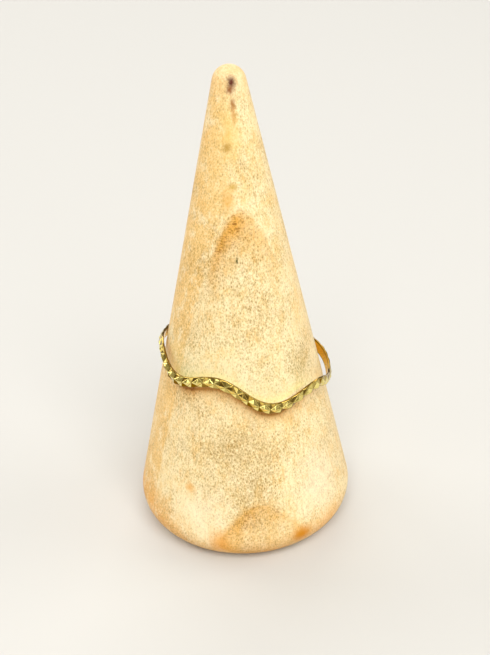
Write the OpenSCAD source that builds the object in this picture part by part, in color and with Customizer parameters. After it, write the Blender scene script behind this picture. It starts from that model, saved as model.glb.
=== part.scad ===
// Diamond-cut wave ring standing on a turned wooden ring cone.
// Millimetres, +Z up, origin at the centre of the cone's base.

/* [Ring band] */
// Inside diameter of the ring
ring_bore_d = 17.7; // [15:0.1:18.5]
// Width of the band, along the finger
band_w = 1.15; // [0.8:0.05:2]
// Thickness of the band at its polished edges
edge_t = 0.31; // [0.3:0.01:1]
// Rise of the cut face's crown above the polished edges
crown_rise = 0.2; // [0.1:0.01:0.4]
// Size of the bevels that join the bore to the polished edges
bore_bevel = 0.08; // [0.02:0.01:0.12]

/* [Wave] */
// Height of the front wave above and below the band's plain line
wave_h = 0.95; // [0:0.05:2]
// Angle round the ring that one full wave takes, in degrees
wave_pitch = 72.2; // [60:0.1:120]
// Angle from the front at which the wave has mostly faded, in degrees
wave_fade = 88; // [60:1:100]
// Angle by which the middle of the wave lies to the left of the front
wave_turn = 1.2; // [-10:0.1:10]

/* [Diamond cuts] */
// Number of crossings of the two sets of slanting cuts round the ring
cut_count = 48; // [24:1:64]
// Depth of the cuts where they cross, below the crown
cut_depth = 0.06; // [0.02:0.01:0.1]
// Depth of the notches in the upper edge, above each crossing
upper_notch = 0.08; // [0:0.01:0.12]
// Depth of the notches in the lower edge, half way between two crossings
lower_notch = 0.1; // [0:0.01:0.12]

/* [Ring's place on the cone] */
// Distance of the ring's centre to the right of the cone's axis
seat_x = 0.58; // [0:0.01:0.8]
// Distance of the ring's centre behind the cone's axis, negative when it lies in front
seat_y = -0.5; // [-0.6:0.01:0.2]
// Lean of the ring down to its right, in degrees
lean_side = 11.6; // [0:0.1:13]
// Lean of the ring down to its back, in degrees
lean_back = 1.6; // [0:0.1:4]
// Gap between the ring and the cone where the ring rests
seat_gap = 0.05; // [0.02:0.01:0.2]

/* [Ring cone] */
// Height of the cone
cone_h = 50; // [45:1:60]
// Diameter at which the straight side would meet the table
cone_foot_d = 24.9; // [24:0.1:28]
// Radius of the rounded tip
tip_r = 1.63; // [1:0.01:2]
// Radius of the rounded foot edge
foot_r = 3; // [1:0.1:4]

/* [Hidden] */

bore_r = ring_bore_d / 2;
edge_r = bore_r + edge_t;
crown_r = edge_r + crown_rise;
half_w = band_w / 2;
// One column of points at each crossing and one half way to the next
columns = 2 * cut_count;
column_step = 360 / columns;

// Half angle of the cone, whose side runs from the foot tangent to the tip
foot_corner_r = cone_foot_d / 2;
tip_z = cone_h - tip_r;
taper = atan(foot_corner_r / tip_z) - asin(tip_r / norm([foot_corner_r, tip_z]));
// Centre of the foot's round, tangent to the base and to the side
foot_x = foot_corner_r - foot_r * (1 + sin(taper)) / cos(taper);

// The angle of a column from the front, positive to the right
function column_angle(column) = -180 + column * column_step;

// Height of the band's middle line at an angle from the front
function wave_z(angle) =
    let (from_middle = angle + wave_turn)
    -wave_h * sin(from_middle * 360 / wave_pitch) * exp(-pow(from_middle / wave_fade, 4));

// A point of the upright band: an angle, a radius and a height from the middle line
function band_point(angle, radius, rise) =
    [radius * sin(angle), -radius * cos(angle), wave_z(angle) + rise];

// The same point once the band leans and stands beside the cone's axis, at height 0
function leaned(point) =
    let (
        side = [
            point.x * cos(lean_side) + point.z * sin(lean_side),
            point.y,
            point.z * cos(lean_side) - point.x * sin(lean_side)
        ]
    )
    [
        seat_x + side.x,
        seat_y + side.y * cos(lean_back) + side.z * sin(lean_back),
        side.z * cos(lean_back) - side.y * sin(lean_back)
    ];

// How far a point stands out from the sharp cone's side when the ring is at height 0
function stand_out(point) =
    norm([point.x, point.y]) - foot_corner_r + point.z * tan(taper);

// The ring slides down until its tightest point of the bore meets the cone
tightest = min([
    for (column = [0 : columns - 1], rise = [bore_bevel - half_w, half_w - bore_bevel])
        stand_out(leaned(band_point(column_angle(column), bore_r, rise)))
]);
seat_z = (seat_gap - tightest) / tan(taper);

// Cross-section at one column, from the bore round by the top and the cut face.
// The cuts cross on the middle line at even columns and run out at odd ones.
// The upper edge is notched at even columns and the lower edge at odd ones.
function column_points(column) =
    let (
        angle = column_angle(column),
        at_crossing = column % 2 == 0,
        middle_r = crown_r - (at_crossing ? cut_depth : 0),
        upper_r = edge_r - (at_crossing ? upper_notch : 0),
        lower_r = edge_r - (at_crossing ? 0 : lower_notch)
    )
    [
        band_point(angle, bore_r, bore_bevel - half_w),
        band_point(angle, bore_r, half_w - bore_bevel),
        band_point(angle, bore_r + bore_bevel, half_w),
        band_point(angle, upper_r, half_w),
        band_point(angle, middle_r, 0),
        band_point(angle, lower_r, -half_w),
        band_point(angle, bore_r + bore_bevel, -half_w)
    ];

// Names of the places in one column's cross-section
BORE_LOW = 0;
BORE_HIGH = 1;
TOP_IN = 2;
TOP_OUT = 3;
MIDDLE = 4;
LOW_OUT = 5;
LOW_IN = 6;
PLACES = 7;

function corner(column, place) = (column % columns) * PLACES + place;

// A four-cornered face between two neighbouring columns, as two triangles
function strip(column, place_a, place_b) =
    let (
        a = corner(column, place_a),
        b = corner(column, place_b),
        c = corner(column + 1, place_b),
        d = corner(column + 1, place_a)
    )
    column % 2 == 0 ? [[a, d, b], [b, d, c]] : [[a, c, b], [a, d, c]];

// The faces between one column and the next, all round the cross-section.
// On the cut face the shared side of each pair of triangles is a cut.
function column_faces(column) = [
    each strip(column, BORE_LOW, BORE_HIGH),
    each strip(column, BORE_HIGH, TOP_IN),
    each strip(column, TOP_IN, TOP_OUT),
    each cut_strip(column, TOP_OUT, MIDDLE),
    each cut_strip(column, LOW_OUT, MIDDLE),
    each strip(column, LOW_OUT, LOW_IN),
    each strip(column, LOW_IN, BORE_LOW)
];

// Two facets between a polished edge and the middle line, split along the cut
// that joins the crossing to the place where the cut runs out
function cut_strip(column, edge, middle) =
    let (
        edge_here = corner(column, edge),
        edge_next = corner(column + 1, edge),
        middle_here = corner(column, middle),
        middle_next = corner(column + 1, middle),
        facets = column % 2 == 0
            ? [[edge_here, edge_next, middle_here], [middle_here, edge_next, middle_next]]
            : [[edge_here, edge_next, middle_next], [edge_here, middle_next, middle_here]]
    )
    edge == TOP_OUT ? facets : [for (facet = facets) [facet[0], facet[2], facet[1]]];

module wave_ring() {
    color("gold")
        translate([0, 0, seat_z])
            polyhedron(
                points = [
                    for (column = [0 : columns - 1], point = column_points(column))
                        leaned(point)
                ],
                faces = [
                    for (column = [0 : columns - 1])
                        each column_faces(column)
                ]
            );
}

// Half of the cone's outline: a straight side with a round tip and a round foot
module cone_outline() {
    intersection() {
        union() {
            translate([0, tip_z])
                circle(r = tip_r, $fn = 64);
            translate([foot_x, foot_r])
                circle(r = foot_r, $fn = 64);
            polygon([
                [0, 0],
                [foot_x, 0],
                [foot_x + foot_r * cos(taper), foot_r + foot_r * sin(taper)],
                [tip_r * cos(taper), tip_z + tip_r * sin(taper)],
                [0, tip_z + tip_r * sin(taper)]
            ]);
        }
        square([foot_corner_r, cone_h]);
    }
}

module ring_cone() {
    color("burlywood")
        rotate_extrude($fn = 96)
            cone_outline();
}

wave_ring();
ring_cone();
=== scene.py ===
"""Looks of a diamond-cut gold wave ring on a turned wooden ring cone.

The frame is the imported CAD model. Two surfaces worked out with numpy stand for its two solids:
the turned cone, and the band with its wave and its slanting cuts. Blender's units are metres.
The file is laid out as an add-on and run as a script.
"""

import math

import bpy
import numpy as np
from bpy.props import FloatProperty, FloatVectorProperty, IntProperty, PointerProperty
from mathutils import Matrix, Vector


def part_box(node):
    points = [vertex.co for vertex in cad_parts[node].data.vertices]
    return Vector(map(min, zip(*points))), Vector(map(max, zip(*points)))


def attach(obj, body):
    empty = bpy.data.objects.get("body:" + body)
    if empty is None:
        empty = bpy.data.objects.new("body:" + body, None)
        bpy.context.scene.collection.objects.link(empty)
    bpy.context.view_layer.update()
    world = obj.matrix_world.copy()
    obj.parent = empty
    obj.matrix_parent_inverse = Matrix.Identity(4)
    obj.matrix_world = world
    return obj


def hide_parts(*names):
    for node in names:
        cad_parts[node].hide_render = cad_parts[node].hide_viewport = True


bl_info = {
    "name": "Wave ring on a ring cone",
    "version": (1, 0, 0),
    "blender": (4, 5, 0),
    "location": "View3D > Sidebar > Wave Ring",
    "description": "Makes a diamond-cut wave ring, its turned wooden ring cone and a plain studio",
    "category": "Object",
}

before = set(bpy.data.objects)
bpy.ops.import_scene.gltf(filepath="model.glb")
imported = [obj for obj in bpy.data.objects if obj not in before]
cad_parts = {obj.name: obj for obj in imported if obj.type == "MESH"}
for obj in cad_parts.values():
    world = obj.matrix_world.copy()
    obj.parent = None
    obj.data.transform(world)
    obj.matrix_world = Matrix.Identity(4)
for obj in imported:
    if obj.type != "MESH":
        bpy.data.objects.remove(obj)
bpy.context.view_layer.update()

MM = 0.001
_, CONE_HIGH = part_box("ring_cone")


def from_hex(colour):
    """The linear colour that Blender wants, from an sRGB hex value."""
    parts = np.array([int(colour[i:i + 2], 16) for i in (0, 2, 4)]) / 255
    return tuple(np.where(parts <= 0.04045, parts / 12.92, ((parts + 0.055) / 1.055) ** 2.4))


def opaque(colour):
    """A colour with full alpha, from an sRGB hex value or from a property."""
    return (*(from_hex(colour) if isinstance(colour, str) else colour), 1)


def length(name, description, millimetres):
    """A size property, given in millimetres and kept in metres."""
    return FloatProperty(name=name, description=description, default=millimetres * MM,
                         precision=5, unit="LENGTH")


def angle(name, description, degrees):
    """An angle property, given in degrees and kept in radians."""
    return FloatProperty(name=name, description=description, default=math.radians(degrees),
                         unit="ROTATION")


def tint(name, description, colour):
    """A colour property, given as an sRGB hex value and kept linear."""
    return FloatVectorProperty(name=name, description=description, default=from_hex(colour),
                               size=3, min=0, max=1, subtype="COLOR")


class ConeSettings(bpy.types.PropertyGroup):
    """Sizes and colours of the wooden ring cone."""

    tip_r: length("Tip radius", "Radius of the rounded tip", 1.63)
    foot_r: length("Foot radius", "Radius of the rounded foot edge", 3.0)
    pale: tint("Pale wood", "Palest patches", "F5E2B6")
    cream: tint("Cream wood", "Light wood in the middle of a growth layer", "F0DBA9")
    tan: tint("Tan wood", "Wood of the layer at the tip and on the flanks", "EABE72")
    late: tint("Late wood", "Brown line where a growth layer starts", "DB9716")
    fleck: tint("Flecks", "Short dark flecks along the grain", "906A10")
    dash: tint("Dashes", "Dark dashes across the brown lines", "85510F")
    # Painted shade along the rounded foot edge
    foot_edge_shade: tint("Foot edge", "Darker wood along the rounded foot edge", "DF9C42")
    # These four tints paint on the wood the light and the shade that the ring throws: a painted
    # glow and a painted yellow glint above it, and a painted warm shade and a painted contact
    # shadow, a dark line, below it
    glow: tint("Glow", "Light that the ring throws on the wood above it", "BAD298")
    painted_glint: tint("Glint", "Yellow that tints the wood right above the ring", "FFFDD0")
    painted_warm_shade: tint("Warm shade", "Tint of the ring's warm shade on the wood just below it", "EEC05E")
    painted_contact_shadow: tint("Contact line", "Tint of the dark line right under the ring", "B08A20")
    roughness: FloatProperty(name="Roughness", description="Roughness of the sanded wood",
                             default=0.52, min=0, max=1)


class BandSettings(bpy.types.PropertyGroup):
    """Sizes and colours of the gold band."""

    bore_d: length("Inside diameter", "Inside diameter of the ring", 17.7)
    band_w: length("Width", "Width of the band along the finger", 1.15)
    edge_t: length("Edge thickness", "Thickness of the band at its polished edges", 0.31)
    crown_rise: length("Crown rise", "Rise of the cut face above the polished edges", 0.2)
    bore_bevel: length("Bore bevel", "Rounding between the bore and the polished edges", 0.08)
    edge_roll: length("Edge roll", "Rounding between the polished edges and the cut face", 0.09)
    wave_h: length("Wave height", "Height of the front wave above and below the plain line", 0.95)
    wave_pitch: angle("Wave pitch", "Angle round the ring that one full wave takes", 72.2)
    wave_fade: angle("Wave fade", "Angle from the front at which the wave has faded", 88)
    wave_turn: angle("Wave turn", "Angle of the wave's middle to the left of the front", 1.2)
    cut_count: IntProperty(name="Cuts", description="Crossings of the cuts round the ring",
                           default=48, min=24, max=64)
    cut_depth: length("Cut depth", "Depth where the cuts cross, below the crown", 0.06)
    upper_notch: length("Upper notch", "Depth of the upper edge's notches, at the crossings", 0.08)
    lower_rise: length("Lower rise", "Rise of the lower edge's points, at the crossings", 0.05)
    lower_notch: length("Lower notch", "Depth of the lower edge's notches, between crossings", 0.12)
    hand: length("Hand", "How far the heights of a facet's corners stray from cut to cut", 0.012)
    line_w: length("Cut line width", "Width of the fine line engraved along each cut", 0.08)
    line_depth: length("Cut line depth", "Depth of the fine line engraved along each cut", 0.036)
    hollow: length("Facet hollow", "How far the middle of a facet is scooped out", 0.0045)
    seat_x: length("Seat to the right", "Ring's centre to the right of the cone's axis", 0.58)
    seat_y: length("Seat behind", "Ring's centre behind the cone's axis, negative in front", -0.5)
    seat_gap: length("Seat gap", "Gap between the ring and the cone where it rests", 0.05)
    lean_side: angle("Lean to the right", "Lean of the ring down to its right", 11.6)
    lean_back: angle("Lean to the back", "Lean of the ring down to its back", 1.6)
    gold: tint("Gold", "Colour that the polished gold reflects", "F8E68C")
    # Deep gold: painted dark reflections on some facets, painted shade on the edges and the bevels,
    # and the deeper cut lines
    deep: tint("Deep gold", "Gold in the cut lines and the deeper facets", "845E00")
    # Painted warm reflection in the bore, where light is reflected more than once
    inner: tint("Inner gold", "Gold of the bore, where light is reflected more than once", "FFCE48")
    roughness: FloatProperty(name="Roughness", description="Roughness of the diamond-cut gold",
                             default=0.12, min=0, max=1)


class StudioSettings(bpy.types.PropertyGroup):
    """Floor, light and camera."""

    floor: tint("Floor", "Colour of the matt floor", "CBC9C4")
    floor_half: length("Floor reach", "Half the side of the square floor", 1500)
    light: FloatProperty(name="Light", description="Factor on the power of all the lights",
                         default=0.91, min=0)
    lens: FloatProperty(name="Lens", description="Focal length of the camera", default=54,
                        subtype="DISTANCE_CAMERA")
    camera_back: length("Camera back", "Distance of the camera in front of the cone", 89.72)
    camera_up: length("Camera up", "Height of the camera above the floor", 73.42)
    pan: angle("Pan", "Turn of the camera to the right", 0.387)
    tilt: angle("Tilt", "Tilt of the camera below the horizon", 29.658)
    roll: angle("Roll", "Roll of the camera", -2.18)


def add(tree, kind, inputs=None, **settings):
    """Adds a node and returns its first output in use.

    settings are the node's own properties. inputs are its sockets by name or number, and each
    is a plain value or the output that feeds it.
    """
    node = tree.nodes.new(kind)
    for name, value in settings.items():
        setattr(node, name, value)
    for name, value in (inputs or {}).items():
        if isinstance(value, bpy.types.NodeSocket):
            tree.links.new(value, node.inputs[name])
        else:
            node.inputs[name].default_value = value
    return next((output for output in node.outputs if output.enabled), node)


def new_material(name):
    """An empty node material and its tree."""
    material = bpy.data.materials.new(name)
    material.use_nodes = True
    material.node_tree.nodes.clear()
    return material, material.node_tree


def stops(output, table, interpolation="LINEAR"):
    """Sets a colour ramp's stops from a table of position and linear colour."""
    ramp = output.node.color_ramp
    ramp.interpolation = interpolation
    while len(ramp.elements) > 1:
        ramp.elements.remove(ramp.elements[-1])
    for number, (position, colour) in enumerate(table):
        element = ramp.elements[0] if number == 0 else ramp.elements.new(position)
        element.position = position
        element.color = colour


def mesh_object(name, points, faces, material, **layers):
    """A smooth-shaded mesh object at the origin, from arrays of points and lists of corners.

    Each layer is an array of one number for each point, which the material reads by its name.
    """
    mesh = bpy.data.meshes.new(name)
    mesh.from_pydata(points.tolist(), [], faces)
    for layer, numbers in layers.items():
        mesh.attributes.new(layer, "FLOAT", "POINT").data.foreach_set("value", numbers)
    mesh.polygons.foreach_set("use_smooth", np.ones(len(mesh.polygons), bool))
    mesh.materials.append(material)
    mesh.update()
    piece = bpy.data.objects.new(name, mesh)
    bpy.context.scene.collection.objects.link(piece)
    return piece


def cone_shape(cone):
    """Taper, foot centre, tip centre and sharp foot radius of the cone, from the frame's box.

    The side is the outer tangent of the tip circle and the foot circle. Its angle from the
    upright is acos((tip - foot) / distance) less the angle of the line between the centres.
    The sharp foot radius is where the side, drawn on, would meet the table.
    """
    foot_x = CONE_HIGH.x - cone.foot_r
    tip_z = CONE_HIGH.z - cone.tip_r
    rise = tip_z - cone.foot_r
    normal_to_centres = math.acos((cone.tip_r - cone.foot_r) / math.hypot(foot_x, rise))
    taper = normal_to_centres - math.atan2(rise, foot_x)
    tangent_r = cone.tip_r * math.cos(taper)
    tangent_z = tip_z + cone.tip_r * math.sin(taper)
    corner_r = tangent_r + tangent_z * math.tan(taper)
    return taper, foot_x, tip_z, corner_r


def cone_profile(cone):
    """Radius and height along half the cone's outline, from the base's centre to the tip.

    A flat base, the foot's arc from straight down to the side's normal, the straight side, and
    the tip's arc from the side's normal to straight up. Points on the side are about 0.15 mm
    apart.
    """
    taper, foot_x, tip_z, _ = cone_shape(cone)
    base = np.linspace(0, foot_x, 24, endpoint=False)
    foot = np.linspace(-math.pi / 2, taper, 28)
    tip = np.linspace(taper, math.pi / 2, 20)
    side = np.linspace(0, 1, 320)[1:-1]
    start = np.array([foot_x + cone.foot_r * math.cos(taper), cone.foot_r * (1 + math.sin(taper))])
    end = np.array([cone.tip_r * math.cos(taper), tip_z + cone.tip_r * math.sin(taper)])
    radius = np.concatenate([
        base,
        foot_x + cone.foot_r * np.cos(foot),
        start[0] + (end[0] - start[0]) * side,
        cone.tip_r * np.cos(tip),
    ])
    height = np.concatenate([
        np.zeros_like(base),
        cone.foot_r * (1 + np.sin(foot)),
        start[1] + (end[1] - start[1]) * side,
        tip_z + cone.tip_r * np.sin(tip),
    ])
    radius[-1] = 0
    return radius, height


def turned_surface(radius, height, around):
    """Points and faces of a profile turned about the upright axis, closed at both poles.

    Point (i, j) is (radius_i cos a_j, radius_i sin a_j, height_i) with a_j = 2 pi j / around.
    The first and the last point of the profile lie on the axis and are one point each.
    """
    turn = 2 * math.pi * np.arange(around) / around
    rings = np.stack([
        np.outer(radius[1:-1], np.cos(turn)),
        np.outer(radius[1:-1], np.sin(turn)),
        np.outer(height[1:-1], np.ones(around)),
    ], axis=-1).reshape(-1, 3)
    points = np.vstack([[0, 0, height[0]], rings, [0, 0, height[-1]]])
    here = np.arange(around)
    ahead = (here + 1) % around
    low = 1 + around * np.arange(len(radius) - 3)[:, None]
    high = low + around
    quads = np.stack([low + here, low + ahead, high + ahead, high + here], axis=-1)
    last_ring = 1 + around * (len(radius) - 3)
    base = np.stack([np.zeros(around, int), 1 + ahead, 1 + here], axis=-1)
    tip = np.full(around, len(points) - 1)
    top = np.stack([last_ring + here, last_ring + ahead, tip], axis=-1)
    return points, [*quads.reshape(-1, 4).tolist(), *base.tolist(), *top.tolist()]


def corner_heights(band):
    """Heights of the facets' corners above the edges.

    There is one row for each column of corners, at a crossing, half way to the next and so on,
    with one place each for the upper edge, the middle line and the lower edge. Each strays a
    little, as a hand-guided cut does.
    """
    at_crossing = (-band.upper_notch, band.crown_rise - band.cut_depth, band.lower_rise)
    half_way = (0, band.crown_rise, -band.lower_notch)
    stray = np.random.default_rng(7).uniform(-band.hand, 0, (2 * band.cut_count, 3))
    return np.tile([at_crossing, half_way], (band.cut_count, 1)) + stray


def cut_distance(band, along, across):
    """Distance from the cut that runs from a crossing, where along and across are both 0, to
    the edge half way to the next crossing, where both are 1: the difference of the two, times
    the height of the right-angled triangle whose short sides are half a pitch and half a width.
    """
    half_pitch = math.pi / band.cut_count * (band.bore_d / 2 + band.edge_t)
    half_w = band.band_w / 2
    return np.abs(across - along) * half_pitch * half_w / math.hypot(half_pitch, half_w)


def band_face(band, place, side):
    """Height of the cut face above the edges.

    place is the number of corner columns gone round the ring, and side runs 1 at the upper
    edge by 0 on the middle line to -1 at the lower edge. Between two columns each half of the
    face is split by a cut from the crossing on the middle line to the other column's edge.
    A facet is the plane through its three corners, scooped out in proportion to the product of
    its three weights, which is 1/27 in its middle. A V-shaped line is engraved along the cut.
    """
    heights = corner_heights(band)
    column = np.floor(place).astype(int)
    from_left = column % 2 == 0
    crossing = np.where(from_left, column, column + 1) % len(heights)
    half_way = np.where(from_left, column + 1, column) % len(heights)
    along = np.where(from_left, place - column, column + 1 - place)[:, None]
    across = np.abs(side)[None, :]
    edge = np.where(side > 0, 0, 2)
    start = heights[crossing, 1][:, None]
    start_edge = heights[crossing][:, edge]
    end = heights[half_way, 1][:, None]
    end_edge = heights[half_way][:, edge]
    outer = start * (1 - across) + start_edge * (across - along) + end_edge * along
    inner = start * (1 - along) + end * (along - across) + end_edge * across
    outer_weights = (1 - across) * (across - along) * along
    inner_weights = (1 - along) * (along - across) * across
    past_cut = across > along
    hollow = 27 * band.hollow * np.where(past_cut, outer_weights, inner_weights)
    from_cut = cut_distance(band, along, across)
    line = band.line_depth * np.clip(1 - 2 * from_cut / band.line_w, 0, 1)
    return np.where(past_cut, outer, inner) - hollow - line


# How deep the gold looks on each kind of facet, to the right and to the left of a crossing, which
# paints dark reflections on the facets that would mirror dim surroundings. An outer facet has a
# side on the band's edge, and an inner one on its middle line.
FACET_TONES = {
    "upper outer": (0.9, 0.55),
    "upper inner": (0.1, 0.05),
    "lower outer": (1.0, 0.05),
    "lower inner": (0.05, 0.0),
}
# The same for the front slope of the wave, whose upper facets are long and painted dark
SLOPE_TONES = {
    "upper outer": (0.0, 0.75),
    "upper inner": (0.7, 0.75),
    "lower outer": (0.6, 0.0),
    "lower inner": (0.2, 0.0),
}
# Where that slope starts and ends, in degrees from the front, positive to the right
SLOPE_START = -22.5
SLOPE_END = 0
# How deep the gold looks in the cut lines above and below the middle line
UPPER_LINE_TONE = 0.5
LOWER_LINE_TONE = 0.9


def facet_tone(band, place, side):
    """How deep the gold looks on the cut face, from 0 to 1: by the kind of facet, which paints dark
    reflections, with a stray for each facet, and deep in the cut lines.

    place and side are those of band_face.
    """
    columns = 2 * band.cut_count
    column = np.floor(place).astype(int)
    on_left = column % 2
    along = np.where(on_left, column + 1 - place, place - column)[:, None]
    across = np.abs(side)[None, :]
    kind = np.where(side > 0, 0, 2) + np.where(across > along, 0, 1)
    stray = np.random.default_rng(11).uniform(-0.3, 0.2, (columns, len(FACET_TONES)))
    tones = np.array([list(FACET_TONES.values()), list(SLOPE_TONES.values())])
    turn = 360 * column / columns - 180
    on_slope = ((turn >= SLOPE_START) & (turn < SLOPE_END)).astype(int)[:, None]
    tone = tones[on_slope, kind, on_left[:, None]] + stray[column[:, None], kind]
    # The line looks a little wider than it is cut
    line = np.clip(1.3 - 2 * cut_distance(band, along, across) / band.line_w, 0, 1)
    line = line * np.where(side < 0, LOWER_LINE_TONE, UPPER_LINE_TONE)
    return np.clip(np.maximum(tone, line), 0, 1)


def wave_rise(band, turn):
    """Height of the band's middle line: a sine of the angle from the wave's middle, times the
    exponential of minus the fourth power of that angle over the angle of fade."""
    from_middle = turn + band.wave_turn
    wave = -band.wave_h * np.sin(2 * np.pi * from_middle / band.wave_pitch)
    return wave * np.exp(-(from_middle / band.wave_fade) ** 4)


def band_points(band, turn, radius, rise):
    """Points of the leaning band at the cone's foot: angle from the front, radius and height
    from the middle line, turned by the lean to the right and then by the lean to the back."""
    x = radius * np.sin(turn)
    y = -radius * np.cos(turn)
    z = wave_rise(band, turn) + rise
    side_x = x * math.cos(band.lean_side) + z * math.sin(band.lean_side)
    side_z = z * math.cos(band.lean_side) - x * math.sin(band.lean_side)
    return np.stack([
        band.seat_x + side_x,
        band.seat_y + y * math.cos(band.lean_back) + side_z * math.sin(band.lean_back),
        side_z * math.cos(band.lean_back) - y * math.sin(band.lean_back),
    ], axis=-1)


def seat_height(band, cone):
    """How high the band stands: it slides down until the tightest corner of its bore is the
    seat gap away from the cone's side."""
    taper, _, _, corner_r = cone_shape(cone)
    turn = -np.pi + np.pi * np.arange(2 * band.cut_count) / band.cut_count
    reach = band.band_w / 2 - band.bore_bevel
    bore = np.concatenate([
        band_points(band, turn, band.bore_d / 2, rise) for rise in (-reach, reach)])
    stand_out = np.hypot(bore[:, 0], bore[:, 1]) - corner_r + bore[:, 2] * math.tan(taper)
    return (band.seat_gap - stand_out.min()) / math.tan(taper)


# Tilt of the cut face at its edges, from which the polished edge rolls over, in radians
ROLL_FROM = 0.35
# How deep the gold looks in the bore, in the bevels beside it, and on the two edges. The deep gold
# on the bevels and the edges is painted shade
BORE_TONE = 0.0
BEVEL_TONE = 1.0
LOWER_EDGE_TONE = 1.0
UPPER_EDGE_TONE = 0.72


def band_surface(band, cone, steps):
    """Points and faces of the band, a closed cross-section carried round the ring, and its two
    layers: how deep the gold looks at each point, and which points are on the bore.

    Each cut has steps points from its crossing to its edge, and the face is split along the
    same slant as the cuts, so that every facet's edge is an edge of the mesh.
    """
    columns = 2 * band.cut_count * steps
    turn = -np.pi + 2 * np.pi * np.arange(columns) / columns
    place = np.arange(columns) / steps
    half_w = band.band_w / 2
    bore_r = band.bore_d / 2
    edge_r = bore_r + band.edge_t
    side = np.linspace(1, -1, 2 * steps + 1)
    face_r = edge_r + band_face(band, place, side)
    face_z = np.broadcast_to((half_w - band.edge_roll) * side, face_r.shape)
    # The polished edges: an arc from the bore, a flat and an arc that rolls over to the face
    corner = np.linspace(0, np.pi / 2, 6)
    round_r = bore_r + band.bore_bevel * (1 - np.cos(corner))
    round_z = half_w - band.bore_bevel * (1 - np.sin(corner))
    roll = np.linspace(np.pi / 2, ROLL_FROM, 7)[:-1]
    roll_in = band.edge_roll * (math.cos(ROLL_FROM) - np.cos(roll))
    roll_down = band.edge_roll * (1 - np.sin(roll)) / (1 - math.sin(ROLL_FROM))
    upper_line = face_r[:, :1] - roll_in
    lower_line = face_r[:, -1:] - roll_in[::-1]
    edge_z = np.broadcast_to(half_w - roll_down, upper_line.shape)
    bore_z = np.linspace(-round_z[0], round_z[0], 9)[1:-1]
    ones = np.ones((columns, 1))
    radius = np.hstack([
        ones * bore_r * np.ones(len(bore_z)),
        ones * round_r,
        upper_line,
        face_r,
        lower_line,
        ones * round_r[::-1],
    ])
    rise = np.hstack([
        ones * bore_z,
        ones * round_z,
        edge_z,
        face_z,
        -edge_z[:, ::-1],
        -ones * round_z[::-1],
    ])
    points = band_points(band, turn[:, None], radius, rise)
    points[..., 2] += seat_height(band, cone)
    tone = np.hstack([
        ones * np.full(len(bore_z), BORE_TONE),
        ones * np.full(len(round_r), BEVEL_TONE),
        np.full_like(upper_line, UPPER_EDGE_TONE),
        facet_tone(band, place, side),
        np.full_like(lower_line, LOWER_EDGE_TONE),
        ones * np.full(len(round_r), BEVEL_TONE),
    ])
    # The bore, with the start of its bevels, where a warm reflection is painted
    inside = np.where(radius < bore_r + 0.1 * band.bore_bevel, 1.0, 0.0)
    places = radius.shape[1]
    here = np.arange(columns)[:, None]
    ahead = (here + 1) % columns
    low = np.arange(places)[None, :]
    high = (low + 1) % places
    a = here * places + low
    b = ahead * places + low
    c = ahead * places + high
    d = here * places + high
    first_face = len(bore_z) + len(round_r) + len(roll)
    upper = (low >= first_face) & (low < first_face + steps)
    leaving = (place % 2 < 1)[:, None]
    # Above the middle line the cuts rise away from a crossing, below it they fall away
    split_ac = leaving != upper
    along_ac = np.stack([a, b, c, a, c, d], axis=-1)
    along_bd = np.stack([a, b, d, b, c, d], axis=-1)
    split = np.where(split_ac[..., None], along_ac, along_bd)
    layers = {"tone": tone.ravel(), "inside": inside.ravel()}
    return points.reshape(-1, 3), split.reshape(-1, 3).tolist(), layers


# The light and the shade that the band throws on the wood, painted into its colour: a glow, a warm
# shade and a contact shadow. How far each reaches past the band's edge, and the gap between the
# bore and the cone at which all three have mostly faded
GLOW_REACH = 1.5 * MM
SHADE_REACH = 0.8 * MM
CONTACT_REACH = 0.14 * MM
CONTACT_WIDTH = 0.1 * MM
GAP_REACH = 2.2 * MM
# How far all three fall below the band, in all and as a share of the gap, and how much lower
# the glow reaches on the flanks
LIGHT_DROP = 0.1 * MM
LIGHT_SLANT = 0.6
FLANK_DROP = 0.8 * MM
# What is left of the glow on the flanks
FLANK_GLOW = 0.4


def light_from_band(points, band, cone):
    """Shares of the painted glow above the band, of the painted warm shade below it and of the
    painted contact shadow, a dark line right under it, for points of the cone.

    Each falls off by the exponential of the height beyond the band's edge, and by the
    exponential of minus the square of the gap between the bore and the cone. The last two fade
    on the flanks, where the glow is weaker and reaches lower.
    """
    taper, _, _, corner_r = cone_shape(cone)
    turn = np.linspace(-np.pi, np.pi, 720, endpoint=False)
    line = band_points(band, turn, band.bore_d / 2, 0)
    line[:, 2] += seat_height(band, cone)
    around = np.arctan2(line[:, 0], -line[:, 1])
    gap = np.hypot(line[:, 0], line[:, 1]) - corner_r + line[:, 2] * math.tan(taper)
    here = np.arctan2(points[:, 0], -points[:, 1])
    above = points[:, 2] - np.interp(here, around, line[:, 2], period=2 * np.pi)
    gap = np.interp(here, around, gap, period=2 * np.pi)
    # The light slants down, so all fall lower where the gap is wide
    above += LIGHT_SLANT * gap + LIGHT_DROP
    near = np.exp(-(gap / GAP_REACH) ** 2)
    half_w = band.band_w / 2
    over = np.maximum(above - half_w, 0)
    under = np.maximum(-above - half_w, 0)
    # 1 at the front and the back, 0 on the flanks
    facing = np.clip(2.5 * np.abs(np.cos(here)) - 0.9, 0, 1)
    lit = above + FLANK_DROP * (1 - facing)
    glow = np.clip(lit / half_w, 0, np.exp(-over / GLOW_REACH))
    shade = np.clip(-above / half_w, 0, np.exp(-under / SHADE_REACH))
    # The painted contact shadow: a dark line right under the band
    past_line = np.maximum(under - CONTACT_WIDTH, 0)
    painted_contact_shadow = np.clip(-above / half_w, 0, np.exp(-past_line / CONTACT_REACH))
    return {
        "glow": near * (FLANK_GLOW + (1 - FLANK_GLOW) * facing) * glow,
        "warm_shade": near * facing * shade,
        "painted_contact_shadow": near * facing * painted_contact_shadow,
    }


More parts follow.
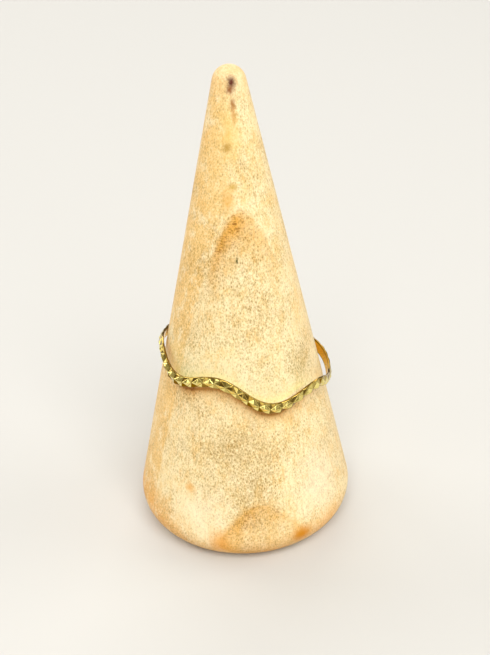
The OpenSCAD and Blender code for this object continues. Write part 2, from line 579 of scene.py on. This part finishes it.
def sanded_beech(cone):
    """Beech turned on a lathe and sanded: a pale body in broad growth layers, each with a brown
    line where it starts, dense short flecks along the grain, and a dry, nearly matt surface.

    The mesh's own layers paint the light and the shade of the band into the colour.
    """
    material, tree = new_material("Sanded beech")
    place = add(tree, "ShaderNodeMapping", {
        "Vector": add(tree, "ShaderNodeTexCoord").node.outputs["Object"],
        "Scale": (1 / MM,) * 3,
    })
    depth = add(tree, "ShaderNodeVectorMath", {0: bent(tree, place), 1: LAYER_NORMAL},
                operation="DOT_PRODUCT").node.outputs["Value"]
    flat = add(tree, "ShaderNodeVectorMath", {0: place, 1: (1, 1, 0)}, operation="MULTIPLY")
    around = add(tree, "ShaderNodeVectorMath", {0: flat}, operation="NORMALIZE")
    left = left_side(tree, around)
    colour, line = growth_layers(tree, cone, depth, around, left)
    # Painted shade on the rounded foot edge
    colour = paint_foot_edge_shade(tree, cone, colour, place, left)
    colour, pores = grain(tree, cone, colour, place, line)
    colour = marks(tree, colour, place)
    # Painted light and shade from the band: a painted glow and a painted yellow glint above it, a
    # painted warm shade and a painted contact shadow below it
    for layer, low, blend, tone in (
        ("glow", 0.0, "SCREEN", cone.glow),
        ("glow", 0.4, "MULTIPLY", cone.painted_glint),
        ("warm_shade", 0.0, "MULTIPLY", cone.painted_warm_shade),
        ("painted_contact_shadow", 0.0, "MULTIPLY", cone.painted_contact_shadow),
    ):
        share = add(tree, "ShaderNodeAttribute", attribute_name=layer).node.outputs["Fac"]
        share = add(tree, "ShaderNodeMapRange", {"Value": share, "From Min": low})
        colour = add(tree, "ShaderNodeMix", {"Factor": share, "A": colour, "B": opaque(tone)},
                     data_type="RGBA", blend_type=blend)
    bump = add(tree, "ShaderNodeBump", {
        "Height": pores, "Strength": 0.3, "Distance": 0.02 * MM}, invert=True)
    roughness = add(tree, "ShaderNodeMapRange", {
        "Value": pores, "To Min": cone.roughness - 0.03, "To Max": cone.roughness + 0.1})
    shader = add(tree, "ShaderNodeBsdfPrincipled", {
        "Base Color": colour,
        "Roughness": roughness,
        "Specular IOR Level": 0.22,
        "Normal": bump,
    })
    add(tree, "ShaderNodeOutputMaterial", {"Surface": shader})
    return material


# Growth layers, in millimetres from the axis towards the front along the layers' normal: where
# each starts, how far its brown line reaches in, how strong the line is, and how tan the wood
# is behind the line and at the end of the layer
GROWTH_LAYERS = (
    {"start": -11.4, "reach": 0.9, "line": 0.6, "tan_in": 0.3, "tan_out": 0.6},
    {"start": -8.9, "reach": 0.8, "line": 0.65, "tan_in": 0.1, "tan_out": 0.5},
    {"start": -2.3, "reach": 0.7, "line": 0.7, "tan_in": 0.75, "tan_out": 0.9},
    {"start": 4.25, "reach": 0.6, "line": 0.85, "tan_in": 0.0, "tan_out": 0.1},
    {"start": 10.85, "reach": 0.55, "line": 0.6, "tan_in": 0.9, "tan_out": 0.9},
)
LAYER_NORMAL = (0.13, -0.99, 0.0)
LAYER_REACH = 15.0


def bent(tree, place):
    """The place, shifted by a slow noise with finer parts so that the layers' edges aren't
    ruled."""
    noise = add(tree, "ShaderNodeTexNoise", {
        "Vector": place, "Scale": 0.3, "Detail": 5, "Roughness": 0.7}).node.outputs["Color"]
    shift = add(tree, "ShaderNodeVectorMath", {0: noise, 1: (0.5,) * 3}, operation="SUBTRACT")
    return add(tree, "ShaderNodeVectorMath", {0: shift, 1: (0.5,) * 3, 2: place},
               operation="MULTIPLY_ADD")


def left_side(tree, around):
    """From 1 on the left flank, whose wood lay nearer the heart, to 0 on the right. The extra tan
    that it gives the left flank is partly that wood's colour and partly painted shade on the dimmer
    left side.

    around is the level direction from the cone's axis.
    """
    x = add(tree, "ShaderNodeSeparateXYZ", {"Vector": around}).node.outputs["X"]
    return add(tree, "ShaderNodeMapRange", {"Value": x, "From Min": 0.5, "From Max": -0.95},
               interpolation_type="SMOOTHSTEP")


def growth_layers(tree, cone, depth, around, left):
    """Colour by depth through the growth layers, and how strong their brown lines are.

    The layers stand upright. A line is strong at the front and the back, where its layer cuts
    the surface in an arch, and fades on the flanks.
    """
    position = add(tree, "ShaderNodeMapRange", {
        "Value": depth, "From Min": -LAYER_REACH, "From Max": LAYER_REACH})
    body, lines = [], []
    for number, layer in enumerate(GROWTH_LAYERS):
        start, reach = layer["start"], layer["reach"]
        is_last = number == len(GROWTH_LAYERS) - 1
        end = LAYER_REACH if is_last else GROWTH_LAYERS[number + 1]["start"]
        body += [(start, layer["tan_in"]), (end - 0.25, layer["tan_out"])]
        lines += [
            (start - 0.1, 0),
            (start, layer["line"]),
            (start + 0.4 * reach, 0.8 * layer["line"]),
            (start + reach, 0.3 * layer["line"]),
            (start + 2 * reach, 0),
        ]
    shares = []
    for table in (body, lines):
        ramp = add(tree, "ShaderNodeValToRGB", {"Fac": position})
        stops(ramp, [((at + LAYER_REACH) / (2 * LAYER_REACH), (share, share, share, 1))
                     for at, share in table])
        shares.append(ramp)
    square = add(tree, "ShaderNodeVectorMath", {0: around, 1: LAYER_NORMAL},
                 operation="DOT_PRODUCT").node.outputs["Value"]
    square = add(tree, "ShaderNodeMath", {0: square}, operation="ABSOLUTE")
    arch = add(tree, "ShaderNodeMapRange", {
        "Value": square, "From Min": 0.74, "From Max": 0.92, "To Min": 0.06},
        interpolation_type="SMOOTHSTEP")
    # More tan on the left: partly the wood's own colour, partly painted shade
    tan_side = add(tree, "ShaderNodeMapRange", {"Value": left, "To Min": 0.2})
    line_side = add(tree, "ShaderNodeMapRange", {"Value": left, "From Max": 0.22, "To Min": 0.45})
    tan_share = add(tree, "ShaderNodeMath", {0: shares[0], 1: tan_side}, operation="MULTIPLY")
    line = add(tree, "ShaderNodeMath", {0: shares[1], 1: arch}, operation="MULTIPLY")
    line = add(tree, "ShaderNodeMath", {0: line, 1: line_side}, operation="MULTIPLY")
    colour = add(tree, "ShaderNodeMix", {
        "Factor": tan_share, "A": opaque(cone.cream), "B": opaque(cone.tan)}, data_type="RGBA")
    return colour, line


# Zones of thicker flecks, in millimetres: the name, the middle, the radii and how much thicker
FLECKED = (
    ("Below the ring", (-0.3, -9.6, 11.5), (5.0, 3.5, 7.0), 0.28),
    ("Above the ring", (0.5, -5.6, 28.0), (4.0, 3.0, 6.0), 0.15),
    ("Right flank", (6.0, -4.9, 21.0), (1.8, 2.5, 3.5), 0.25),
    ("Left flank", (-5.5, -5.5, 19.0), (2.5, 2.5, 9.0), 0.16),
    ("Foot", (1.0, -11.0, 4.0), (5.0, 2.5, 3.5), 0.06),
)


def within(tree, place, name, middle, radii, share):
    """The share in the middle of an ellipsoid, falling smoothly to 0 past its radii."""
    scale = [1 / radius for radius in radii]
    inside = add(tree, "ShaderNodeMapping", {
        "Vector": place,
        "Scale": scale,
        "Location": [-at * factor for at, factor in zip(middle, scale)],
    }, label=name)
    away = add(tree, "ShaderNodeVectorMath", {0: inside}, operation="LENGTH").node.outputs["Value"]
    return add(tree, "ShaderNodeMapRange", {
        "Value": away, "From Min": 1.4, "From Max": 0.1, "To Max": share},
        interpolation_type="SMOOTHSTEP")


def grain(tree, cone, colour, place, line):
    """Mottling, brown lines, streaks and flecks over the layers' colour, and where the pores are.

    Beech pores are under 0.1 mm across and are drawn about 0.15 mm across, to show in the render.
    """
    mottle, fine, streak = (
        add(tree, "ShaderNodeTexNoise", {
            "Vector": add(tree, "ShaderNodeMapping", {"Vector": place, "Scale": scale}),
            "Scale": 1,
            "Detail": detail,
            "Roughness": roughness,
        })
        for scale, detail, roughness in (
            ((0.75, 0.75, 0.5), 5, 0.7),
            ((6.5, 6.5, 5), 3, 0.8),
            ((3.2, 3.2, 0.28), 3, 0.6),
        )
    )
    for noise, low, high, most, tone in (
        (mottle, 0.5, 0.68, 0.6, cone.tan),
        (mottle, 0.5, 0.35, 0.8, cone.pale),
        (fine, 0.49, 0.3, 0.75, cone.pale),
        (streak, 0.52, 0.75, 0.4, cone.late),
    ):
        share = add(tree, "ShaderNodeMapRange", {
            "Value": noise, "From Min": low, "From Max": high, "To Max": most})
        colour = add(tree, "ShaderNodeMix", {"Factor": share, "A": colour, "B": opaque(tone)},
                     data_type="RGBA")
    colour = add(tree, "ShaderNodeMix", {"Factor": line, "A": colour, "B": opaque(cone.late)},
                 data_type="RGBA")
    # A fine stipple and sparser flecks, both thicker in patches. A fleck is the dark middle of
    # a cell of a stretched Voronoi.
    dense = add(tree, "ShaderNodeTexNoise", {
        "Vector": place, "Scale": 0.3, "Detail": 4, "Roughness": 0.6})
    for zone in FLECKED:
        dense = add(tree, "ShaderNodeMath", {0: dense, 1: within(tree, place, *zone)})
    stipple = add(tree, "ShaderNodeMath", {0: dense, 1: 0.25, 2: fine}, operation="MULTIPLY_ADD")
    stipple = add(tree, "ShaderNodeMapRange", {
        "Value": stipple, "From Min": 0.61, "From Max": 0.83, "To Max": 0.68})
    upright = add(tree, "ShaderNodeMapping", {"Vector": place, "Scale": (5.2, 5.2, 3.0)})
    cells = add(tree, "ShaderNodeTexVoronoi", {
        "Vector": upright, "Scale": 1, "Randomness": 1}).node
    ragged = add(tree, "ShaderNodeMath", {0: fine, 1: 1.4, 2: cells.outputs["Distance"]},
                 operation="MULTIPLY_ADD")
    middle = add(tree, "ShaderNodeMapRange", {"Value": ragged, "From Min": 1.2, "From Max": 0.95})
    chance = add(tree, "ShaderNodeSeparateColor", {"Color": cells.outputs["Color"]})
    chance = add(tree, "ShaderNodeMath", {0: dense, 1: 1.6, 2: chance}, operation="MULTIPLY_ADD")
    strength = add(tree, "ShaderNodeMapRange", {
        "Value": chance, "From Min": 1.0, "From Max": 2.0, "To Max": 0.75})
    pores = add(tree, "ShaderNodeMath", {0: middle, 1: strength}, operation="MULTIPLY")
    for share in (stipple, pores):
        colour = add(tree, "ShaderNodeMix", {"Factor": share, "A": colour, "B": opaque(cone.fleck)},
                     data_type="RGBA")
    # Dashes across the brown lines
    level = add(tree, "ShaderNodeMapping", {"Vector": place, "Scale": (2.6, 2.6, 6)})
    dash = add(tree, "ShaderNodeTexNoise", {"Vector": level, "Scale": 1, "Detail": 2})
    dash = add(tree, "ShaderNodeMapRange", {"Value": dash, "From Min": 0.54, "From Max": 0.66})
    dash = add(tree, "ShaderNodeMath", {0: dash, 1: line}, operation="MULTIPLY")
    colour = add(tree, "ShaderNodeMix", {"Factor": dash, "A": colour, "B": opaque(cone.dash)},
                 data_type="RGBA")
    return colour, pores


def paint_foot_edge_shade(tree, cone, colour, place, left):
    """Painted shade along the rounded foot edge, where it turns down from the light, most on the
    left and least on the right.
    """
    z = add(tree, "ShaderNodeSeparateXYZ", {"Vector": place}).node.outputs["Z"]
    uneven = add(tree, "ShaderNodeTexNoise", {"Vector": place, "Scale": 0.5, "Detail": 3})
    z = add(tree, "ShaderNodeMath", {0: uneven, 1: -1.6, 2: z}, operation="MULTIPLY_ADD")
    flank = add(tree, "ShaderNodeMath", {0: left, 1: 5}, operation="POWER")
    z = add(tree, "ShaderNodeMath", {0: flank, 1: -4, 2: z}, operation="MULTIPLY_ADD")
    low = add(tree, "ShaderNodeMapRange", {
        "Value": z, "From Min": 2.8, "From Max": -1.6, "To Max": 0.85},
        interpolation_type="SMOOTHSTEP")
    side = add(tree, "ShaderNodeMapRange", {"Value": left, "To Min": 0.85})
    share = add(tree, "ShaderNodeMath", {0: low, 1: side}, operation="MULTIPLY")
    return add(tree, "ShaderNodeMix", {"Factor": share, "A": colour, "B": opaque(cone.foot_edge_shade)},
               data_type="RGBA")


# Marks in the wood, in millimetres: the name, the middle, the radii, how strong and the colour
MARKS = (
    ("End grain", (0.0, 0.0, 50.3), (3.0, 3.0, 3.6), 0.5, "F1CB98"),
    ("Tip knot", (0.2, -1.55, 48.75), (0.46, 0.6, 0.7), 1.0, "5A2818"),
    ("Knot below", (0.05, -1.75, 48.1), (0.42, 0.6, 0.42), 0.9, "84491C"),
    ("Knot streak", (0.23, -2.02, 46.8), (0.28, 0.6, 0.7), 0.9, "8E5220"),
    ("Streak's end", (0.3, -2.2, 45.8), (0.22, 0.6, 0.9), 0.7, "B87C3C"),
    ("Tip stain", (-0.1, -2.6, 44.2), (1.1, 1.6, 3.2), 0.4, "E9BF62"),
    ("High eye", (-0.44, -2.82, 43.05), (0.5, 0.6, 0.5), 0.8, "AE8430"),
    ("Low eye", (-0.04, -3.64, 39.5), (0.5, 0.5, 0.4), 0.75, "C0983F"),
    ("Stain above the arch", (-0.6, -3.9, 38.2), (0.7, 0.8, 1.2), 0.55, "DDA34A"),
    ("Dark pore", (0.05, -5.18, 32.6), (0.14, 0.4, 0.36), 1.0, "4E4A12"),
    ("Pale foot, left", (-4.5, -10.0, 5.8), (3.2, 3.0, 3.4), 0.36, "FBEBCB"),
    ("Pale foot, right", (8.4, -8.2, 8.0), (3.6, 3.6, 4.2), 0.36, "FAEAD2"),
    ("Low spot", (-5.8, -8.8, 8.5), (0.6, 0.6, 0.6), 0.7, "DDA04C"),
    ("Low arch", (1.3, -11.9, 1.0), (4.6, 3.0, 3.2), 0.35, "E6AA58"),
    ("Low arch's left leg", (-3.1, -11.2, 2.6), (1.2, 1.6, 2.2), 0.65, "E0983C"),
    ("Rim, right", (8.6, -7.4, 2.3), (3.8, 3.8, 2.1), 0.5, "E6A452"),
    ("Resin", (5.75, -10.2, 2.7), (1.4, 1.6, 1.2), 1.0, "CC8200"),
)


def marks(tree, colour, place):
    """Small knots, stains and a spot of resin, each an ellipsoid whose edge a noise breaks up."""
    noise = add(tree, "ShaderNodeTexNoise", {
        "Vector": place, "Scale": 2.6, "Detail": 5, "Roughness": 0.8}).node.outputs["Color"]
    shift = add(tree, "ShaderNodeVectorMath", {0: noise, 1: (0.5,) * 3}, operation="SUBTRACT")
    ragged = add(tree, "ShaderNodeVectorMath", {0: shift, 1: (0.8,) * 3, 2: place},
                 operation="MULTIPLY_ADD")
    for *zone, tone in MARKS:
        share = within(tree, ragged, *zone)
        colour = add(tree, "ShaderNodeMix", {"Factor": share, "A": colour, "B": opaque(tone)},
                     data_type="RGBA")
    return colour


def cut_gold(band):
    """Yellow gold cut with a diamond tool, which leaves its facets bright and nearly mirrors.

    The mesh's own layers paint a warm reflection into the bore, paint dark reflections on some
    facets and shade on the edges, and make it deeper in the cut lines.
    """
    material, tree = new_material("Diamond-cut gold")
    colour = opaque(band.gold)
    # Painted warm reflection in the bore, then deep gold for painted dark reflections on the
    # facets, painted shade on the edges, and the cut lines
    for layer, tone in (("inside", band.inner), ("tone", band.deep)):
        share = add(tree, "ShaderNodeAttribute", attribute_name=layer).node.outputs["Fac"]
        colour = add(tree, "ShaderNodeMix", {"Factor": share, "A": colour, "B": opaque(tone)},
                     data_type="RGBA")
    shader = add(tree, "ShaderNodeBsdfPrincipled", {
        "Base Color": colour,
        "Metallic": 1,
        "Roughness": band.roughness,
    })
    add(tree, "ShaderNodeOutputMaterial", {"Surface": shader})
    return material


def matt_floor(studio):
    """Matt laminate: a plain pale floor."""
    material, tree = new_material("Matt laminate")
    shader = add(tree, "ShaderNodeBsdfPrincipled", {
        "Base Color": opaque(studio.floor),
        "Roughness": 0.7,
        "Specular IOR Level": 0.2,
    })
    add(tree, "ShaderNodeOutputMaterial", {"Surface": shader})
    return material


class RING_OT_turn_cone(bpy.types.Operator):
    """Make the turned wooden ring cone"""

    bl_idname = "wave_ring.turn_cone"
    bl_label = "Turn the Cone"

    def execute(self, context):
        cone = context.scene.ring_cone_settings
        points, faces = turned_surface(*cone_profile(cone), around=256)
        layers = light_from_band(points, context.scene.wave_band_settings, cone)
        piece = mesh_object("turned_cone", points, faces, sanded_beech(cone), **layers)
        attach(piece, "root")
        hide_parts("ring_cone")
        return {"FINISHED"}


class RING_OT_cut_band(bpy.types.Operator):
    """Make the diamond-cut gold band"""

    bl_idname = "wave_ring.cut_band"
    bl_label = "Cut the Band"

    def execute(self, context):
        band = context.scene.wave_band_settings
        points, faces, layers = band_surface(band, context.scene.ring_cone_settings, steps=12)
        piece = mesh_object("wave_band", points, faces, cut_gold(band), **layers)
        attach(piece, "root")
        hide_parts("wave_ring")
        return {"FINISHED"}


# The soft lights: where each stands and its two sides, in metres, and its power. All face the
# same point.
LIGHTS = (
    {"name": "key", "at": (0.12, -0.78, 1.04), "size": (1.2, 0.72), "watts": 19.35},
    {"name": "right_panel", "at": (1.14, 0.06, 0.62), "size": (0.78, 0.78), "watts": 4.95},
    {"name": "left_panel", "at": (-1.02, 0.72, 0.56), "size": (0.78, 0.78), "watts": 7.2},
    {"name": "left_strip", "at": (-1.17, -0.3, 0.26), "size": (0.24, 0.48), "watts": 0.75},
    {"name": "front_left_strip", "at": (-0.96, -0.72, 0.26), "size": (0.24, 0.48), "watts": 0.75},
    {"name": "front_right_strip", "at": (0.48, -1.11, 0.26), "size": (0.24, 0.48), "watts": 0.75},
    {"name": "back_panel", "at": (-0.09, 1.2, 0.86), "size": (1.2, 0.66), "watts": 8.1},
)
LIGHT_AIM = (0, 0, 0.02)
# The surroundings' colour by the sine of the height above the horizon, and their strength
SURROUNDINGS = (
    (0, "BEB8AC"),
    (0.06, "ACA491"),
    (0.15, "A49B85"),
    (0.42, "A89F8A"),
    (0.75, "BDBBB7"),
    (1, "DDDDDD"),
)
SURROUNDINGS_STRENGTH = 0.77


class RING_OT_set_studio(bpy.types.Operator):
    """Lay the floor, and set the lights, the surroundings and the camera"""

    bl_idname = "wave_ring.set_studio"
    bl_label = "Set the Studio"

    def execute(self, context):
        studio = context.scene.ring_studio_settings
        corners = studio.floor_half * np.array([[-1, -1, 0], [1, -1, 0], [1, 1, 0], [-1, 1, 0]])
        mesh_object("floor", corners, [[0, 1, 2, 3]], matt_floor(studio))
        for row in LIGHTS:
            self.add_light(context, row, studio.light)
        self.light_world(context)
        self.add_camera(context, studio)
        context.scene.view_settings.view_transform = "Standard"
        return {"FINISHED"}

    @staticmethod
    def add_light(context, row, factor):
        """An area light that faces the object."""
        data = bpy.data.lights.new(row["name"], "AREA")
        data.shape = "RECTANGLE"
        data.size, data.size_y = row["size"]
        data.energy = row["watts"] * factor
        light = bpy.data.objects.new(row["name"], data)
        light.location = row["at"]
        sight = Vector(LIGHT_AIM) - light.location
        light.rotation_euler = sight.to_track_quat("-Z", "Y").to_euler()
        context.scene.collection.objects.link(light)

    @staticmethod
    def light_world(context):
        """Surroundings that are light grey at the horizon, dimmer above it and pale overhead."""
        world = bpy.data.worlds.new("Studio surroundings")
        world.use_nodes = True
        tree = world.node_tree
        tree.nodes.clear()
        up = add(tree, "ShaderNodeSeparateXYZ", {
            "Vector": add(tree, "ShaderNodeTexCoord").node.outputs["Generated"]}).node.outputs["Z"]
        ramp = add(tree, "ShaderNodeValToRGB", {"Fac": up})
        stops(ramp, [(height, opaque(colour)) for height, colour in SURROUNDINGS])
        shader = add(tree, "ShaderNodeBackground", {
            "Color": ramp, "Strength": SURROUNDINGS_STRENGTH})
        add(tree, "ShaderNodeOutputWorld", {"Surface": shader})
        context.scene.world = world

    @staticmethod
    def add_camera(context, studio):
        """The camera, panned, tilted down and rolled about its line of sight."""
        pan, tilt, roll = studio.pan, studio.tilt, studio.roll
        sight = Vector((
            math.sin(pan) * math.cos(tilt), math.cos(pan) * math.cos(tilt), -math.sin(tilt)))
        level = Vector((math.cos(pan), -math.sin(pan), 0))
        up = level.cross(sight)
        side = math.cos(roll) * level + math.sin(roll) * up
        top = math.cos(roll) * up - math.sin(roll) * level
        data = bpy.data.cameras.new("camera")
        data.lens = studio.lens
        data.sensor_width = 36
        data.clip_start = 0.001
        camera = bpy.data.objects.new("camera", data)
        turn = Matrix((side, top, -sight)).transposed().to_4x4()
        place = Matrix.Translation((0, -studio.camera_back, studio.camera_up))
        camera.matrix_world = place @ turn
        context.scene.collection.objects.link(camera)
        context.scene.camera = camera


class RING_PT_panel(bpy.types.Panel):
    """Buttons and settings of the wave ring"""

    bl_idname = "RING_PT_panel"
    bl_label = "Wave Ring"
    bl_space_type = "VIEW_3D"
    bl_region_type = "UI"
    bl_category = "Wave Ring"

    def draw(self, context):
        for operator, settings in (
            (RING_OT_turn_cone, context.scene.ring_cone_settings),
            (RING_OT_cut_band, context.scene.wave_band_settings),
            (RING_OT_set_studio, context.scene.ring_studio_settings),
        ):
            box = self.layout.box()
            box.operator(operator.bl_idname)
            for name in settings.bl_rna.properties.keys():
                if name not in {"rna_type", "name"}:
                    box.prop(settings, name)


CLASSES = (
    ConeSettings,
    BandSettings,
    StudioSettings,
    RING_OT_turn_cone,
    RING_OT_cut_band,
    RING_OT_set_studio,
    RING_PT_panel,
)


def register():
    """Registers the classes and puts the settings on the scene."""
    for cls in CLASSES:
        bpy.utils.register_class(cls)
    bpy.types.Scene.ring_cone_settings = PointerProperty(type=ConeSettings)
    bpy.types.Scene.wave_band_settings = PointerProperty(type=BandSettings)
    bpy.types.Scene.ring_studio_settings = PointerProperty(type=StudioSettings)


def unregister():
    """Takes the settings off the scene and the classes back."""
    del bpy.types.Scene.ring_studio_settings
    del bpy.types.Scene.wave_band_settings
    del bpy.types.Scene.ring_cone_settings
    for cls in reversed(CLASSES):
        bpy.utils.unregister_class(cls)


def main():
    """Makes the pieces and the studio."""
    register()
    bpy.ops.wave_ring.turn_cone()
    bpy.ops.wave_ring.cut_band()
    bpy.ops.wave_ring.set_studio()


if __name__ == "__main__":
    main()
